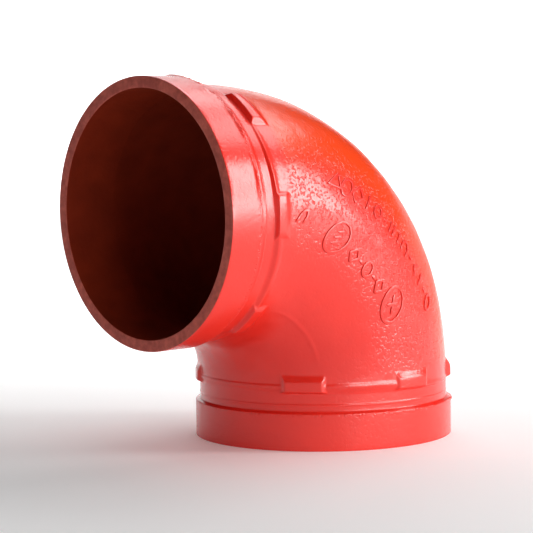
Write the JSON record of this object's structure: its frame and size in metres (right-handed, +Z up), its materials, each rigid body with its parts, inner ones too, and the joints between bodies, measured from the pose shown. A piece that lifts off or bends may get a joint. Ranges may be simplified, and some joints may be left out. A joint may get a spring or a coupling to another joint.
{
  "type": "grooved elbow",
  "caption": "Painted cast-iron 90 degree pipe elbow with a coupling groove, gasket seat and stop lugs round each open end.",
  "frame": {"origin": "on the plane of the lower end face, midway between the front end face and the back of the lower gasket seat, in the casting's mirror plane", "axes": "+Z up along the lower leg, -Y out of the front end along the front leg, +X to the side; the casting is symmetric about x = 0"},
  "size_m": [0.1142, 0.1592, 0.1592],
  "materials": {
    "red_enamel": "glossy red enamel over ductile iron, thin matt coat of the same red in the bore and on the end faces"
  },
  "bodies": {
    "root": {"bend": "red_enamel", "lower_grooved_end": "red_enamel", "front_grooved_end": "red_enamel", "lower_stop_lug_1": "red_enamel", "lower_stop_lug_2": "red_enamel", "lower_stop_lug_3": "red_enamel", "lower_stop_lug_4": "red_enamel", "lower_stop_lug_5": "red_enamel", "lower_stop_lug_6": "red_enamel", "front_stop_lug_1": "red_enamel", "front_stop_lug_2": "red_enamel", "front_stop_lug_3": "red_enamel", "front_stop_lug_4": "red_enamel", "front_stop_lug_5": "red_enamel", "front_stop_lug_6": "red_enamel"}
  },
  "joints": []
}
